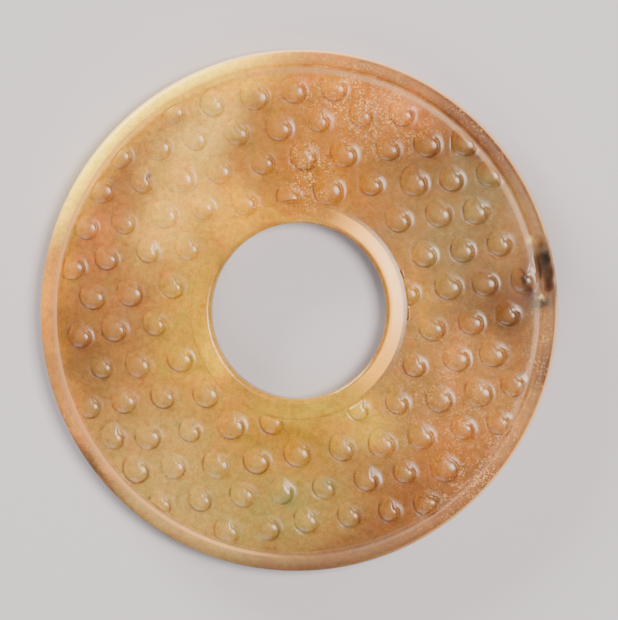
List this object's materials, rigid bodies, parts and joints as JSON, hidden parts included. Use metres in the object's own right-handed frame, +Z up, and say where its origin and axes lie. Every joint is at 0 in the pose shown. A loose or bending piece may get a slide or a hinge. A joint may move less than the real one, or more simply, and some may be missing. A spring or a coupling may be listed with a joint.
{
  "type": "jade bi disc",
  "caption": "Flat carved jade disc with a round central hole, plain raised rims and a field of small comma-curled grains on the front, plainer grains on the back.",
  "frame": {"origin": "middle of the hole, at the level of the surface the disc lies on", "axes": "+Z up through the carved front face, along the axis of the hole; +X and +Y in the plane of the disc, with the dark flaw in the rim just past +X towards +Y"},
  "size_m": [0.0796, 0.0804, 0.0046],
  "materials": {
    "jade": "soft waxy polish, worn, with russet skin and earthy encrustation along part of the rim"
  },
  "bodies": {
    "root": {"jade_disc": "jade"}
  },
  "joints": []
}
